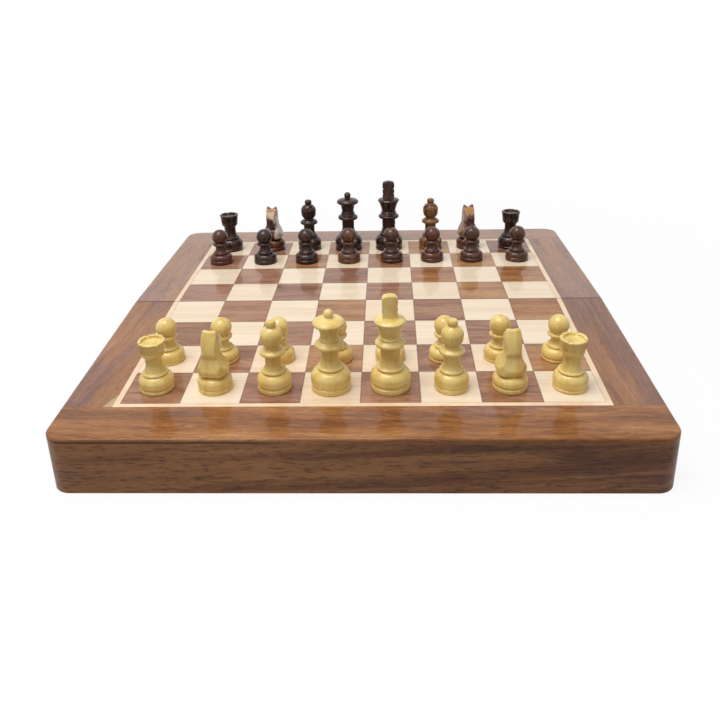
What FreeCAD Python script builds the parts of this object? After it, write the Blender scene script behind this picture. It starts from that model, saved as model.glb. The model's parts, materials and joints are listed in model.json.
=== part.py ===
import FreeCAD, Part
import math
import os

# Folding chess board with its chessmen, open on a table. Lengths are in millimetres.
# Origin on the table under the middle of the seam, X along the seam, +Y to the rear half, +Z up.

# Playing surface
square = 31.1
stringing_width = 3.0
square_thickness = 3.0
steel_sheet_thickness = 0.6
deck_thickness = 5.0

# Case of one half
outer_rail_width = 28.4
side_rail_width = 26.5
case_height = 31.5
corner_radius = 10.0
top_edge_radius = 1.2
tongue_depth = 4.0
groove_clearance = 0.1
seam_wall_thickness = 12.0
seam_gap = 0.6
lining_thickness = 1.0
lining_setback = 2.0

# Closing magnets in the rims
magnet_radius = 4.0
magnet_thickness = 3.0
magnet_recess = 0.2
magnet_clearance = 0.1
magnet_spacing = 220.0

# Butt hinges under the seam
hinge_spacing = 150.0
knuckle_length = 7.84
knuckle_gap = 0.2
barrel_radius = 2.6
barrel_clearance = 0.3
axis_drop = 1.3
leaf_thickness = 1.0
leaf_reach = 11.0
leaf_corner_radius = 1.5
pin_radius = 1.1
pin_clearance = 0.05
pin_proud = 0.5

# Countersunk hinge screws
screw_radius = 1.1
screw_head_radius = 2.1
screw_length = 12.0
screw_slot_width = 0.5
screw_slot_depth = 0.4
screw_clearance = 0.05

# Chessmen: heights, base radii, and the foot and bulge that all of them share
king_height = 53.9
queen_height = 45.5
bishop_height = 39.6
knight_height = 34.8
rook_height = 28.6
pawn_height = 26.1
king_radius = 10.5
queen_radius = 10.5
bishop_radius = 9.0
knight_radius = 9.1
rook_radius = 9.1
pawn_radius = 8.5
foot_height = 3.1
bulge_height = 4.6
finial_height = 13.9
finial_width = 9.0
finial_depth = 4.6
rook_notch_width = 1.2
rook_notch_depth = 1.0
bishop_slit_width = 0.9

# How far a cut runs past the face that it opens
overrun = 1.0

files = "abcdefgh"
rows_per_half = 4
knuckle_count = 5
screw_place_shares = (-0.34, 0.0, 0.34)
screw_point_share = 0.25

# Turned outlines: radius as a share of the base radius, height as a share of its own stretch,
# and the bulge of the stretch that ends there as a share of its chord, positive outwards.
foot_shares = ((0.965, 0.0, 0), (1.0, 0.13, 0), (1.0, 0.9, 0), (0.95, 1.0, 0))
bulge_shares = ((0.945, 0.05, 0), (0.955, 0.8, 0.16), (0.87, 1.0, 0.08))
king_shares = (
    (0.81, 0.028, 0.05), (0.69, 0.084, -0.05), (0.65, 0.142, 0.23), (0.457, 0.381, -0.09),
    (0.467, 0.505, 0), (0.74, 0.56, -0.04), (0.745, 0.604, 0.3), (0.648, 0.641, 0),
    (0.535, 0.659, -0.1), (0.535, 0.69, 0.25), (0.5, 0.703, 0), (0.745, 0.95, -0.04),
    (0.745, 0.975, 0.15), (0.62, 1.0, 0.1),
)
queen_shares = (
    (0.8, 0.034, 0.05), (0.657, 0.095, -0.05), (0.62, 0.1455, 0.25), (0.419, 0.299, -0.09),
    (0.419, 0.405, 0), (0.695, 0.462, -0.08), (0.7, 0.5, 0.3), (0.59, 0.532, 0),
    (0.495, 0.548, -0.1), (0.495, 0.574, 0.25), (0.457, 0.585, 0), (0.457, 0.712, 0),
    (0.514, 0.733, -0.1), (0.714, 0.786, 0), (0.724, 0.817, 0.15), (0.648, 0.841, 0.1),
    (0.286, 0.87, 0.03), (0.2, 0.886, 0), (0.0, 1.0, 0),
)
bishop_shares = (
    (0.78, 0.022, 0.05), (0.678, 0.05, -0.05), (0.633, 0.11, 0.23), (0.456, 0.26, -0.09),
    (0.467, 0.37, 0), (0.72, 0.434, -0.08), (0.725, 0.48, 0.3), (0.589, 0.52, 0),
    (0.478, 0.542, -0.1), (0.256, 0.887, 0.2), (0.244, 0.9, 0), (0.233, 0.981, 0.17),
    (0.0, 1.0, 0),
)
rook_shares = (
    (0.78, 0.024, 0.05), (0.65, 0.038, 0), (0.604, 0.12, 0.23), (0.505, 0.397, -0.06),
    (0.505, 0.517, 0), (0.655, 0.627, -0.08), (0.675, 0.684, 0.08), (0.735, 0.962, 0),
    (0.745, 0.99, 0.1), (0.72, 1.0, 0), (0.63, 1.0, 0), (0.6, 0.923, 0),
)
pawn_shares = (
    (0.6, 0.016, 0), (0.55, 0.11, 0.25), (0.424, 0.302, -0.1), (0.64, 0.368, -0.05),
    (0.65, 0.42, 0.3), (0.47, 0.452, 0), (0.44, 0.462, 0), (0.655, 0.735, 0.088),
    (0.0, 1.0, 0),
)
knight_neck_shares = ((0.66, 0.018, 0), (0.6, 0.048, -0.1), (0.62, 0.085, 0))
knight_side_shares = (
    (0.637, 0.063, 0), (0.758, 0.181, 0.15), (0.549, 0.328, 0.05), (0.297, 0.469, -0.08),
    (0.374, 0.542, 0), (0.725, 0.513, -0.1), (0.912, 0.572, 0.15), (0.879, 0.668, 0.15),
    (0.374, 0.86, 0.03), (0.11, 0.911, -0.05), (-0.066, 1.0, 0), (-0.286, 0.882, 0.05),
    (-0.538, 0.675, 0.06), (-0.769, 0.177, -0.02), (-0.637, 0.063, 0.12),
)
knight_front_shares = (
    (0.593, 0.063, 0), (0.747, 0.159, 0.1), (0.714, 0.24, 0.05), (0.495, 0.435, -0.04),
    (0.429, 0.6, -0.03), (0.44, 0.86, 0), (0.363, 1.0, 0), (0.0, 0.893, 0),
)
knight_girth_share = 0.95
finial_shares = (
    (0.75, 0.0, 0), (0.75, 0.1, 0), (0.97, 0.17, 0), (0.97, 0.27, 0.2), (0.97, 0.38, -0.3),
    (0.97, 0.53, 0.1), (0.97, 0.66, -0.3), (1.0, 0.69, 0), (0.97, 0.91, 0), (0.0, 1.0, 0.06),
)
slit_height_share = 0.72
slit_tilt = 42

# Where the men stand: kind, then their offset from the square's centre as shares of the square,
# positive to the right and to the rear, then their turn in degrees from facing the seam.
white_back_shares = (
    ("rook", -0.003, 0.006, 35), ("knight", 0.006, 0.006, -8), ("bishop", 0.029, 0.0, 10),
    ("queen", -0.008, 0.014, 0), ("king", 0.002, 0.029, 4), ("bishop", 0.029, -0.006, -15),
    ("knight", 0.013, -0.003, 6), ("rook", 0.019, 0.0, 60),
)
white_front_shares = (
    ("pawn", -0.039, 0.0, 0), ("pawn", -0.039, 0.0, 0), ("pawn", -0.006, 0.0, 0),
    ("pawn", 0.042, 0.0, 0), ("pawn", 0.0, 0.0, 0), ("pawn", -0.023, 0.01, 0),
    ("pawn", -0.039, 0.01, 0), ("pawn", -0.003, 0.006, 0),
)
black_front_shares = (
    ("pawn", -0.077, 0.0, 0), ("pawn", 0.0, 0.0, 0), ("pawn", 0.006, 0.01, 0),
    ("pawn", 0.031, 0.019, 0), ("pawn", 0.061, 0.019, 0), ("pawn", 0.035, 0.039, 0),
    ("pawn", -0.021, 0.039, 0), ("pawn", 0.064, 0.023, 0),
)
black_back_shares = (
    ("rook", -0.029, 0.026, 20), ("knight", 0.058, 0.032, 4), ("bishop", -0.01, 0.016, 60),
    ("queen", -0.021, 0.0, 0), ("king", 0.0, 0.0, 0), ("bishop", 0.045, 0.0, 5),
    ("knight", -0.01, 0.0, -5), ("rook", 0.042, 0.0, 50),
)

# Plan of one half, seen from above in its own frame: hinge axis along X at the origin,
# y from the seam outwards, z square to the playing surface.
playing_half_width = square * len(files) / 2
inner_half_width = playing_half_width + stringing_width
outer_half_width = inner_half_width + side_rail_width
half_length = square * rows_per_half + stringing_width + outer_rail_width
rim_z = axis_drop
top_z = axis_drop + case_height
square_z = top_z - square_thickness
sheet_z = square_z - steel_sheet_thickness
deck_z = sheet_z - deck_thickness
hinge_length = knuckle_count * knuckle_length + (knuckle_count - 1) * knuckle_gap
base_height = foot_height + bulge_height


def lean_angle():
    """Lean of each half when the barrels and the outer rims all stand on the table."""
    lean = 0.0
    for _ in range(40):
        rise = barrel_radius * math.cos(lean) + axis_drop + case_height * math.sin(lean) ** 2
        lean = math.asin(rise / (half_length * math.cos(lean)))
    return lean


lean = lean_angle()
seam_shift = top_z * math.tan(lean)
outer_y = half_length - seam_shift
rail_y = outer_y - outer_rail_width
stringing_y = rail_y - stringing_width
store_y = seam_wall_thickness


def block(x0, x1, y0, y1, z0, z1):
    return Part.makeBox(x1 - x0, y1 - y0, z1 - z0, FreeCAD.Vector(x0, y0, z0))


def rod(radius, length, x, y, z, axis=FreeCAD.Vector(0, 0, 1)):
    return Part.makeCylinder(radius, length, FreeCAD.Vector(x, y, z), axis)


def stretch(start, end, bulge):
    """Line, or arc that stands out to the right of the way from start to end."""
    if bulge == 0:
        return Part.LineSegment(start, end).toShape()
    chord = end - start
    side = FreeCAD.Vector(chord.z, 0, -chord.x)
    middle = (start + end) * 0.5 + side * bulge
    return Part.Arc(start, middle, end).toBSpline().toShape()


def cap_bulge(radius, low, high):
    """Bulge of a round top that starts at a radius and meets the axis squarely."""
    ball_radius = (radius ** 2 + (high - low) ** 2) / (2 * (high - low))
    chord = math.hypot(radius, high - low)
    return (ball_radius - math.sqrt(ball_radius ** 2 - chord ** 2 / 4)) / chord


def outline_face(points, bulges):
    """Face in the XZ plane round the points, where each bulge belongs to the stretch that ends there."""
    edges = [stretch(points[i - 1], points[i], bulges[i]) for i in range(1, len(points))]
    if (points[0] - points[-1]).Length > 0:
        edges.append(stretch(points[-1], points[0], 0))
    return Part.Face(Part.Wire(edges))


def scaled_rows(shares, width, start, height):
    return [(r * width, start + z * height, bulge) for r, z, bulge in shares]


def turned(rows):
    """Solid of revolution with a flat foot, and a flat top or, where the last radius is 0, a round one."""
    last_radius, last_z, _ = rows[-1]
    points = [FreeCAD.Vector(0, 0, rows[0][1])]
    points += [FreeCAD.Vector(radius, 0, z) for radius, z, _ in rows]
    bulges = [0] + [bulge for _, _, bulge in rows]
    if last_radius > 0:
        points.append(FreeCAD.Vector(0, 0, last_z))
        bulges.append(0)
    else:
        bulges[-1] = cap_bulge(rows[-2][0], rows[-2][1], last_z)
    face = outline_face(points, bulges)
    return face.revolve(FreeCAD.Vector(0, 0, 0), FreeCAD.Vector(0, 0, 1), 360)


def mirrored_face(rows):
    """Face from the rows of its right side, the last of which lies on the middle line."""
    right = [FreeCAD.Vector(x, 0, z) for x, z, _ in rows]
    left = [FreeCAD.Vector(-x, 0, z) for x, z, _ in reversed(rows[:-1])]
    bulges = [bulge for _, _, bulge in rows]
    bulges += [bulge for _, _, bulge in reversed(rows[1:])]
    return outline_face(right + left, bulges)


# Men, each standing at the origin and facing -Y

def base_rows(radius):
    foot = scaled_rows(foot_shares, radius, 0, foot_height)
    return foot + scaled_rows(bulge_shares, radius, foot_height, bulge_height)


def turned_man(shares, radius, height):
    return turned(base_rows(radius) + scaled_rows(shares, radius, base_height, height - base_height))


def king():
    crown_top = king_height - finial_height
    body = turned_man(king_shares, king_radius, crown_top)
    rows = scaled_rows(finial_shares, finial_width / 2, crown_top, finial_height)
    finial = mirrored_face(rows).extrude(FreeCAD.Vector(0, finial_depth, 0))
    finial.translate(FreeCAD.Vector(0, -finial_depth / 2, 0))
    return body.fuse(finial)


def queen():
    return turned_man(queen_shares, queen_radius, queen_height)


def bishop():
    body = turned_man(bishop_shares, bishop_radius, bishop_height)
    slit = block(-bishop_radius, bishop_radius, -bishop_radius, 0, 0, bishop_slit_width)
    slit.rotate(FreeCAD.Vector(0, 0, 0), FreeCAD.Vector(1, 0, 0), -slit_tilt)
    slit.translate(FreeCAD.Vector(0, 0, base_height + slit_height_share * (bishop_height - base_height)))
    return body.cut(slit)


def rook():
    body = turned_man(rook_shares, rook_radius, rook_height)
    half = rook_notch_width / 2
    low = rook_height - rook_notch_depth
    high = rook_height + overrun
    across = block(-rook_radius, rook_radius, -half, half, low, high)
    along = block(-half, half, -rook_radius, rook_radius, low, high)
    return body.cut(across).cut(along)


def pawn():
    return turned_man(pawn_shares, pawn_radius, pawn_height)


def knight():
    """Carved head and chest on a turned base: side outline, front outline and round blank together."""
    carved_height = knight_height - base_height
    base = turned_man(knight_neck_shares, knight_radius, knight_height)
    side_rows = scaled_rows(knight_side_shares, knight_radius, base_height, carved_height)
    points = [FreeCAD.Vector(y, 0, z) for y, z, _ in side_rows]
    side = outline_face(points, [bulge for _, _, bulge in side_rows])
    side = side.extrude(FreeCAD.Vector(0, 2 * knight_radius, 0))
    side.translate(FreeCAD.Vector(0, -knight_radius, 0))
    side.rotate(FreeCAD.Vector(0, 0, 0), FreeCAD.Vector(0, 0, 1), -90)
    front_rows = scaled_rows(knight_front_shares, knight_radius, base_height, carved_height)
    front = mirrored_face(front_rows).extrude(FreeCAD.Vector(0, 2 * knight_radius, 0))
    front.translate(FreeCAD.Vector(0, -knight_radius, 0))
    blank = rod(knight_girth_share * knight_radius, knight_height, 0, 0, 0)
    return base.fuse(side.common(front).common(blank))


makers = {"king": king, "queen": queen, "bishop": bishop, "knight": knight, "rook": rook, "pawn": pawn}


# Places in the assembled set

def stand(shape, half):
    """Copy of a shape from its half's own frame, leant and set on the table."""
    placed = shape.copy()
    placed.rotate(FreeCAD.Vector(0, 0, 0), FreeCAD.Vector(1, 0, 0), -math.degrees(lean))
    if half == "front":
        placed.rotate(FreeCAD.Vector(0, 0, 0), FreeCAD.Vector(0, 0, 1), 180)
    placed.translate(FreeCAD.Vector(0, 0, barrel_radius))
    return placed


def seam_cutter():
    """Block, in a half's own frame, whose face is upright and half the seam gap from the middle."""
    cutter = block(-outer_half_width - overrun, outer_half_width + overrun,
                   -half_length, seam_gap / 2, -top_z, 2 * top_z)
    cutter.rotate(FreeCAD.Vector(0, 0, 0), FreeCAD.Vector(1, 0, 0), math.degrees(lean))
    return cutter


def save(node, shapes):
    shape = shapes[0] if len(shapes) == 1 else Part.makeCompound(shapes)
    shape.exportStep("parts/" + node + ".step")


# Rails, seam wall and deck of one half

def rounded_case():
    """Outer form of the case: upright corners away from the seam and the top edges are rounded."""
    case = block(-outer_half_width, outer_half_width, -half_length, outer_y, rim_z, top_z)
    uprights = [e for e in case.Edges if is_upright(e) and e.CenterOfMass.y > 0]
    case = case.makeFillet(corner_radius, uprights)
    top = [e for e in case.Edges if abs(e.BoundBox.ZMin - top_z) + abs(e.BoundBox.ZMax - top_z) < 2e-6 * top_z]
    outer = [e for e in top if e.BoundBox.YMax > -half_length / 2]
    return case.makeFillet(top_edge_radius, outer)


def is_upright(edge):
    return edge.BoundBox.ZLength > case_height / 2


def deck_panel(cutter):
    reach = inner_half_width + tongue_depth
    return block(-reach, reach, -half_length, rail_y + tongue_depth, deck_z, sheet_z).cut(cutter)


def deck_groove():
    reach = inner_half_width + tongue_depth + groove_clearance
    return block(-reach, reach, -2 * half_length, rail_y + tongue_depth + groove_clearance, deck_z, sheet_z)


def magnet_places():
    y = outer_y - outer_rail_width / 2
    return [(-magnet_spacing / 2, y), (magnet_spacing / 2, y)]


def outer_rail(case):
    zone = block(-outer_half_width, outer_half_width, rail_y, outer_y, rim_z, top_z)
    rail = case.common(zone).cut(deck_groove())
    depth = magnet_recess + magnet_thickness
    for x, y in magnet_places():
        pocket = rod(magnet_radius + magnet_clearance, depth + overrun, x, y, rim_z - overrun)
        rail = rail.cut(pocket)
    return rail


def side_rail(case, cutter, side):
    edges = sorted((side * inner_half_width, side * outer_half_width))
    zone = block(edges[0], edges[1], -half_length, rail_y, rim_z, top_z)
    return case.common(zone).cut(deck_groove()).cut(cutter)


def hinge_places():
    return [-hinge_spacing / 2, hinge_spacing / 2]


def screw_places():
    y = (barrel_radius + leaf_reach) / 2
    return [(x + share * hinge_length, y) for x in hinge_places() for share in screw_place_shares]


def seam_wall(cutter):
    wall = block(-inner_half_width, inner_half_width, -half_length, store_y, rim_z, deck_z).cut(cutter)
    relief = barrel_radius + barrel_clearance
    length = hinge_length + 2 * (pin_proud + barrel_clearance)
    for x in hinge_places():
        wall = wall.cut(rod(relief, length, x - length / 2, 0, 0, FreeCAD.Vector(1, 0, 0)))
    for x, y in screw_places():
        depth = screw_length + screw_clearance
        wall = wall.cut(rod(screw_radius + screw_clearance, depth + overrun, x, y, rim_z - overrun))
    return wall


# Playing surface of one half

def steel_sheet(cutter):
    return block(-inner_half_width, inner_half_width, -half_length, rail_y, sheet_z, square_z).cut(cutter)


def squares(cutter, odd):
    tiles = []
    for row in range(rows_per_half):
        near = -half_length if row == 0 else row * square - seam_shift
        far = (row + 1) * square - seam_shift
        for column in range(len(files)):
            if (row + column) % 2 == odd:
                left = column * square - playing_half_width
                tile = block(left, left + square, near, far, square_z, top_z)
                tiles.append(tile.cut(cutter) if row == 0 else tile)
    return tiles


def stringing(cutter):
    left = block(-inner_half_width, -playing_half_width, -half_length, stringing_y, square_z, top_z)
    right = block(playing_half_width, inner_half_width, -half_length, stringing_y, square_z, top_z)
    outer = block(-inner_half_width, inner_half_width, stringing_y, rail_y, square_z, top_z)
    return [left.cut(cutter), right.cut(cutter), outer]


def felt_lining():
    """Felt under the deck, with skirts down the four walls of the store."""
    inset = inner_half_width - lining_thickness
    sleeve = block(-inner_half_width, inner_half_width, store_y, rail_y, rim_z + lining_setback, deck_z)
    hollow = block(-inset, inset, store_y + lining_thickness, rail_y - lining_thickness,
                   rim_z - overrun, deck_z - lining_thickness)
    return sleeve.cut(hollow)


# Fittings of one half

def closing_magnets():
    z = rim_z + magnet_recess
    return [rod(magnet_radius, magnet_thickness, x, y, z) for x, y in magnet_places()]


def knuckle_start(index):
    return index * (knuckle_length + knuckle_gap) - hinge_length / 2


def hinge_leaf(half):
    """Leaf at x = 0: a plate on the rim with every second knuckle of the barrel rolled on its edge."""
    along = FreeCAD.Vector(1, 0, 0)
    first = 0 if half == "front" else 1
    low = rim_z - leaf_thickness
    leaf = block(-hinge_length / 2, hinge_length / 2, 0, leaf_reach, low, rim_z)
    corners = [e for e in leaf.Edges if abs(e.Vertexes[0].X - e.Vertexes[-1].X) < pin_clearance
               and abs(e.BoundBox.YLength) < pin_clearance and e.CenterOfMass.y > leaf_reach / 2]
    leaf = leaf.makeFillet(leaf_corner_radius, corners)
    for index in range(knuckle_count):
        if index % 2 != first:
            gap_start = knuckle_start(index) - knuckle_gap
            gap_length = knuckle_length + 2 * knuckle_gap
            leaf = leaf.cut(rod(barrel_radius + barrel_clearance, gap_length, gap_start, 0, 0, along))
    for index in range(first, knuckle_count, 2):
        leaf = leaf.fuse(rod(barrel_radius, knuckle_length, knuckle_start(index), 0, 0, along))
    bore = rod(pin_radius + pin_clearance, hinge_length + 2 * overrun, -hinge_length / 2 - overrun, 0, 0, along)
    leaf = leaf.cut(bore)
    y = (barrel_radius + leaf_reach) / 2
    for share in screw_place_shares:
        head = screw_cone(screw_clearance)
        head.translate(FreeCAD.Vector(share * hinge_length, y, 0))
        leaf = leaf.cut(head)
    return leaf


def hinge_leaves(half):
    leaf = hinge_leaf(half)
    leaves = []
    for x in hinge_places():
        copy = leaf.copy()
        copy.translate(FreeCAD.Vector(x, 0, 0))
        leaves.append(copy)
    return leaves


def screw_cone(clearance):
    """Countersunk head through the leaf, from its open face to the rim."""
    low = FreeCAD.Vector(0, 0, rim_z - leaf_thickness)
    return Part.makeCone(screw_head_radius + clearance, screw_radius + clearance, leaf_thickness, low)


def hinge_screw():
    point = screw_length * screw_point_share
    shank = rod(screw_radius, screw_length - point, 0, 0, rim_z)
    tip = Part.makeCone(screw_radius, 0, point, FreeCAD.Vector(0, 0, rim_z + screw_length - point))
    screw = screw_cone(0).fuse(shank).fuse(tip)
    low = rim_z - leaf_thickness
    slot = block(-screw_head_radius, screw_head_radius, -screw_slot_width / 2, screw_slot_width / 2,
                 low - overrun, low + screw_slot_depth)
    return screw.cut(slot)


def hinge_screws():
    screw = hinge_screw()
    screws = []
    for x, y in screw_places():
        copy = screw.copy()
        copy.translate(FreeCAD.Vector(x, y, 0))
        screws.append(copy)
    return screws


def hinge_pins():
    length = hinge_length + 2 * pin_proud
    along = FreeCAD.Vector(1, 0, 0)
    return [rod(pin_radius, length, x - length / 2, 0, 0, along) for x in hinge_places()]


def build_half(half):
    """The left and right of the front half are those of the whole board, so its frame's sides swap."""
    case = rounded_case()
    cutter = seam_cutter()
    left_side = 1 if half == "front" else -1
    pieces = {
        "outer_rail": [outer_rail(case)],
        "left_rail": [side_rail(case, cutter, left_side)],
        "right_rail": [side_rail(case, cutter, -left_side)],
        "seam_wall": [seam_wall(cutter)],
        "deck_panel": [deck_panel(cutter)],
        "steel_sheet": [steel_sheet(cutter)],
        "dark_squares": squares(cutter, 0),
        "light_squares": squares(cutter, 1),
        "stringing": stringing(cutter),
        "felt_lining": [felt_lining()],
        "closing_magnets": closing_magnets(),
        "hinge_leaves": hinge_leaves(half),
        "hinge_screws": hinge_screws(),
    }
    for name, shapes in pieces.items():
        save(half + "_" + name, [stand(shape, half) for shape in shapes])


def place_men(colour, half, rank, row, shares):
    """Men of one rank. Their places read left to right and front to rear on the whole board."""
    facing = -1 if half == "front" else 1
    for column, (kind, right, rear, turn) in enumerate(shares):
        x = (column + 0.5 + right) * square - playing_half_width
        y = (row + 0.5 + facing * rear) * square - seam_shift
        man = makers[kind]()
        man.rotate(FreeCAD.Vector(0, 0, 0), FreeCAD.Vector(0, 0, 1), turn)
        man.translate(FreeCAD.Vector(facing * x, y, top_z))
        save("{}_{}_{}{}".format(colour, kind, files[column], rank), [stand(man, half)])


os.makedirs("parts", exist_ok=True)
build_half("front")
build_half("rear")
save("hinge_pins", [stand(pin, "front") for pin in hinge_pins()])
place_men("white", "front", 1, 3, white_back_shares)
place_men("white", "front", 2, 2, white_front_shares)
place_men("black", "rear", 7, 2, black_front_shares)
place_men("black", "rear", 8, 3, black_back_shares)
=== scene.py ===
import json
import math

import bpy
from mathutils import Matrix, Vector


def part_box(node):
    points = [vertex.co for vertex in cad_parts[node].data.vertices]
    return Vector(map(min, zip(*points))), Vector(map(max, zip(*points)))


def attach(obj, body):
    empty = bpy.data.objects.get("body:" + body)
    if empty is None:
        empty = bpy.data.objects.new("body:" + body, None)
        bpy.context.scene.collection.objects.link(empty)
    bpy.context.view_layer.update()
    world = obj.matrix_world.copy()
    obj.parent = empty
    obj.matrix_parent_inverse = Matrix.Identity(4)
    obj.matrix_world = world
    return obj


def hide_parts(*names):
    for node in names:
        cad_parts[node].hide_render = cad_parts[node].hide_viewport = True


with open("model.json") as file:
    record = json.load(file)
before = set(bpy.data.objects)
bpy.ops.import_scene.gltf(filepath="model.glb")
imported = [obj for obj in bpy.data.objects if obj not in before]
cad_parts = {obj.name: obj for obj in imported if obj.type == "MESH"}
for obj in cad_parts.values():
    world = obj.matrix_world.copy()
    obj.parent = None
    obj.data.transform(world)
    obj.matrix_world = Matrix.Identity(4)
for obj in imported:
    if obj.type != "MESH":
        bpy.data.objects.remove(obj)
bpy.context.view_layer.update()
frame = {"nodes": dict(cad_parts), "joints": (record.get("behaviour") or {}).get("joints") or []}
nodes = frame["nodes"]


# Rails
# Solid sheesham, an Indian rosewood, with its grain along each rail. The outer rails run the full
# width, the side rails butt against them, and all are sanded at the edges and lacquered.
class Thread:
    """One output in a finish, so that a shade can be written as a sum of threads."""

    def __init__(self, tree, socket):
        self.tree = tree
        self.socket = socket

    def node(self, kind, settings, inputs, output=0):
        """Output of a new node in the same finish, with threads or constants for its inputs."""
        made = self.tree.nodes.new("ShaderNode" + kind)
        for name, value in settings.items():
            if name == "stops":
                set_stops(made.color_ramp, value)
            else:
                setattr(made, name, value)
        for key, value in inputs.items():
            if isinstance(value, Thread):
                self.tree.links.new(value.socket, made.inputs[key])
            else:
                made.inputs[key].default_value = value
        return Thread(self.tree, made.outputs[output]) if made.outputs else None

    def math(self, operation, *values):
        """Result of an operation on the values alone."""
        return self.node("Math", {"operation": operation}, dict(enumerate(values)))

    def __add__(self, other):
        return self.math("ADD", self, other)

    def __radd__(self, other):
        return self.math("ADD", other, self)

    def __sub__(self, other):
        return self.math("SUBTRACT", self, other)

    def __rsub__(self, other):
        return self.math("SUBTRACT", other, self)

    def __mul__(self, other):
        return self.math("MULTIPLY", self, other)

    def __truediv__(self, other):
        return self.math("DIVIDE", self, other)


def set_stops(ramp, stops):
    while len(ramp.elements) < len(stops):
        ramp.elements.new(1.0)
    for element, (place, colour) in zip(ramp.elements, stops):
        element.position = place
        element.color = (*colour, 1.0)


def new_finish(name, **constants):
    """Finish with the given constants: its shader, and the thread of the piece's own coordinates."""
    material = bpy.data.materials.new(name)
    material.use_nodes = True
    tree = material.node_tree
    shader = tree.nodes["Principled BSDF"]
    for constant, value in constants.items():
        shader.inputs[constant.replace("_", " ")].default_value = value
    coordinates = tree.nodes.new("ShaderNodeTexCoord")
    return material, shader, Thread(tree, coordinates.outputs["Object"])


def feed(shader, **threads):
    for name, thread in threads.items():
        thread.tree.links.new(thread.socket, shader.inputs[name.replace("_", " ")])


def mix(factor, first, second):
    return factor.node("Mix", {"data_type": "RGBA"}, {0: factor, 6: first, 7: second}, output=2)


def placed(place, shift=(0, 0, 0), turn=(0, 0, 0), size=(1, 1, 1)):
    values = {"Vector": place, "Location": shift, "Rotation": turn, "Scale": size}
    return place.node("Mapping", {}, values)


def noise(place, size, detail=2.0, distortion=0.0):
    """Soft noise whose patches are shorter along an axis the larger its size there."""
    values = {"Vector": placed(place, size=size), "Scale": 1.0, "Detail": detail, "Roughness": 0.55}
    values["Distortion"] = distortion
    return place.node("TexNoise", {}, values)


def ramp(value, stops):
    return value.node("ValToRGB", {"stops": stops}, {0: value})


def between(value, low, high):
    """0 below low, 1 above high, and a soft step from one to the other."""
    settings = {"interpolation_type": "SMOOTHSTEP"}
    return value.node("MapRange", settings, {0: value, 1: low, 2: high, 3: 0.0, 4: 1.0})


def part_of(vector, axis):
    return vector.node("SeparateXYZ", {}, {0: vector}, output="XYZ".index(axis))


def grain_bump(height, strength, depth):
    return height.node("Bump", {}, {"Strength": strength, "Distance": depth, "Height": height})


def sawn_grain(board, band, line, contrast):
    """Tone, dark veins, fibres and pores of a board whose grain runs along its own X."""
    wander = (noise(board, (9.0, 30.0, 30.0), 3.0) - 0.5) * 0.02
    across = part_of(board, "Y") + wander
    deep = part_of(board, "Z") + wander * 0.8
    board = board.node("CombineXYZ", {}, {0: part_of(board, "X"), 1: across, 2: deep})
    bands = noise(board, (9.0, band, band), 3.0, 0.3)
    lines = noise(board, (20.0, line, line), 3.0)
    flecks = noise(board, (120.0, 900.0, 900.0), 2.0)
    fibres = noise(board, (60.0, 2300.0, 2300.0), 2.0)
    veins = between(noise(board, (6.0, band * 2.1, band * 2.1), 2.0), 0.58, 0.7)
    pores = between(noise(board, (150.0, 1700.0, 1700.0), 1.0), 0.6, 0.7)
    tone = bands * 0.4 + lines * 0.28 + flecks * 0.22 + fibres * 0.1
    return (tone - 0.5) * contrast + 0.5, veins, fibres, pores


golden_tones = (
    (0.3, (0.13, 0.045, 0.018)), (0.42, (0.21, 0.078, 0.026)),
    (0.52, (0.3, 0.12, 0.038)), (0.62, (0.38, 0.17, 0.06)), (0.74, (0.46, 0.24, 0.1)),
)
dusky_tones = (
    (0.3, (0.09, 0.034, 0.024)), (0.42, (0.15, 0.06, 0.038)),
    (0.52, (0.22, 0.094, 0.056)), (0.62, (0.29, 0.135, 0.08)), (0.74, (0.37, 0.19, 0.12)),
)
# Grey of the painted sheen: the reflection of the pale surround, painted on the rails.
painted_sheen_colour = (0.5, 0.39, 0.33, 1.0)
vein_colour = (0.06, 0.024, 0.018, 1.0)
pore_colour = (0.04, 0.016, 0.011, 1.0)
lacquer = {"Specular_IOR_Level": 0.08, "Coat_Weight": 0.6, "Coat_Roughness": 0.07}


def sheesham_finish(name, along_y, shift, tilt, dusk=0.5, contrast=0.9, painted_sheen=0.0):
    """Lacquered sheesham sawn along the rail, from a given place in the log.

    Dusk is its share of purplish heartwood. Its last argument is a painted sheen: how much grey is
    painted on its fibres in place of the reflection of the pale surround, most on the rear rails.
    """
    material, shader, place = new_finish(name, **lacquer)
    bearing = math.radians((90 if along_y else 0) + tilt)
    board = placed(place, shift, (0.0, math.radians(tilt), bearing))
    tone, veins, fibres, pores = sawn_grain(board, band=75.0, line=330.0, contrast=contrast)
    heart_edge = 0.68 - 0.36 * dusk
    heart = between(noise(board, (9.0, 45.0, 45.0), 2.0), heart_edge, heart_edge + 0.1)
    colour = mix(heart, ramp(tone, golden_tones), ramp(tone, dusky_tones))
    # Painted sheen: grey laid on the fibres where the lacquer would reflect the pale surround.
    if painted_sheen:
        colour = mix(fibres * painted_sheen, colour, painted_sheen_colour)
    colour = mix(veins * 0.4, colour, vein_colour)
    colour = mix(pores * 0.45, colour, pore_colour)
    # Painted shade of the seam gap: the side rail darkens at its end and edge next to the seam.
    if along_y:
        off_seam = part_of(place, "Y")
        painted_seam_shade = 1.0 - between(off_seam.math("ABSOLUTE", off_seam), 0.0003, 0.0009)
        colour = mix(painted_seam_shade * 0.55, colour, pore_colour)
    feed(shader, Base_Color=colour, Roughness=0.36 + fibres * 0.16)
    feed(shader, Normal=grain_bump(fibres - pores * 1.4, 0.1, 0.00005))
    return material, shader, place, colour


def finish_node(node, material):
    piece = nodes[node]
    piece.data.materials.clear()
    piece.data.materials.append(material)
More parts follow.
